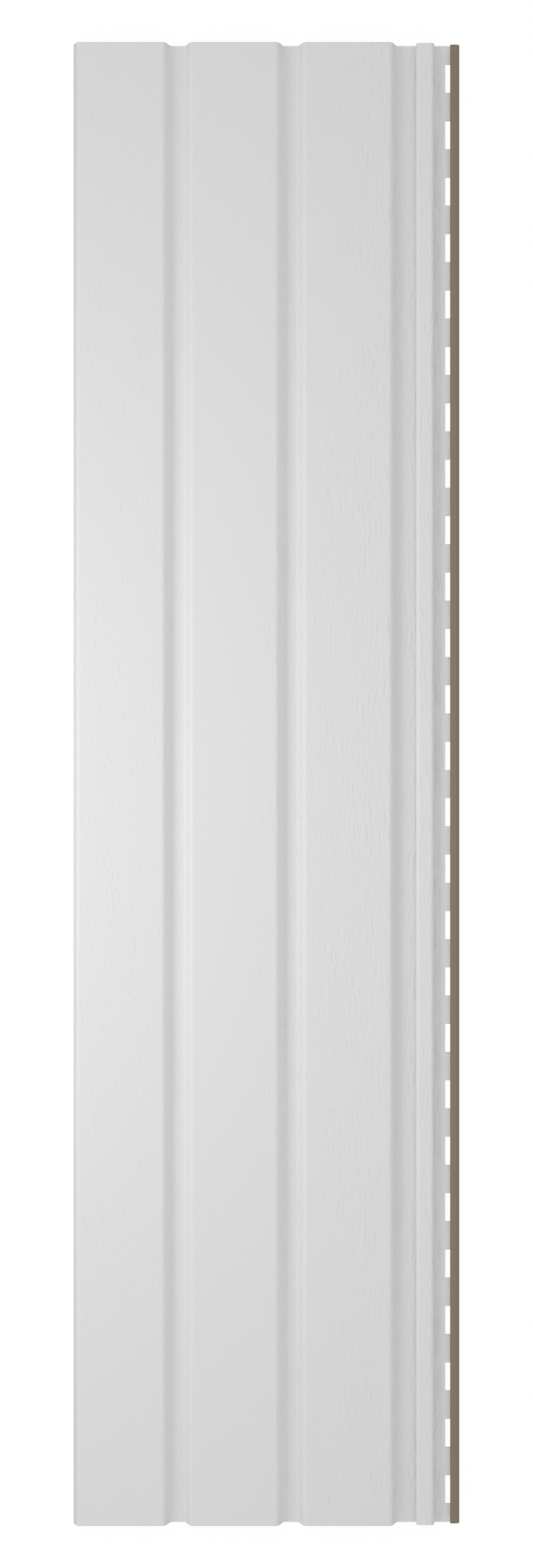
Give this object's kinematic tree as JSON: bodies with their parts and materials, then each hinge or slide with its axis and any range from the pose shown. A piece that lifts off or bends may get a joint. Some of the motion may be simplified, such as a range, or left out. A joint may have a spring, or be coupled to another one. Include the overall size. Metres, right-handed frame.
{
  "type": "soffit panel",
  "caption": "Grooved vinyl soffit panel with a butt hook on one long edge and a raised lock and slotted nailing flange on the other.",
  "frame": {"origin": "centre of the panel's footprint, on the plane that the undersides of the grooves and the nailing flange lie in", "axes": "+X across the panel from the butt hook to the nailing hem, +Y along its length, +Z out of the visible face"},
  "size_m": [0.3466, 1.3286, 0.0123],
  "materials": {
    "vinyl": "satin"
  },
  "bodies": {
    "root": {"soffit_panel": "vinyl"}
  },
  "joints": []
}
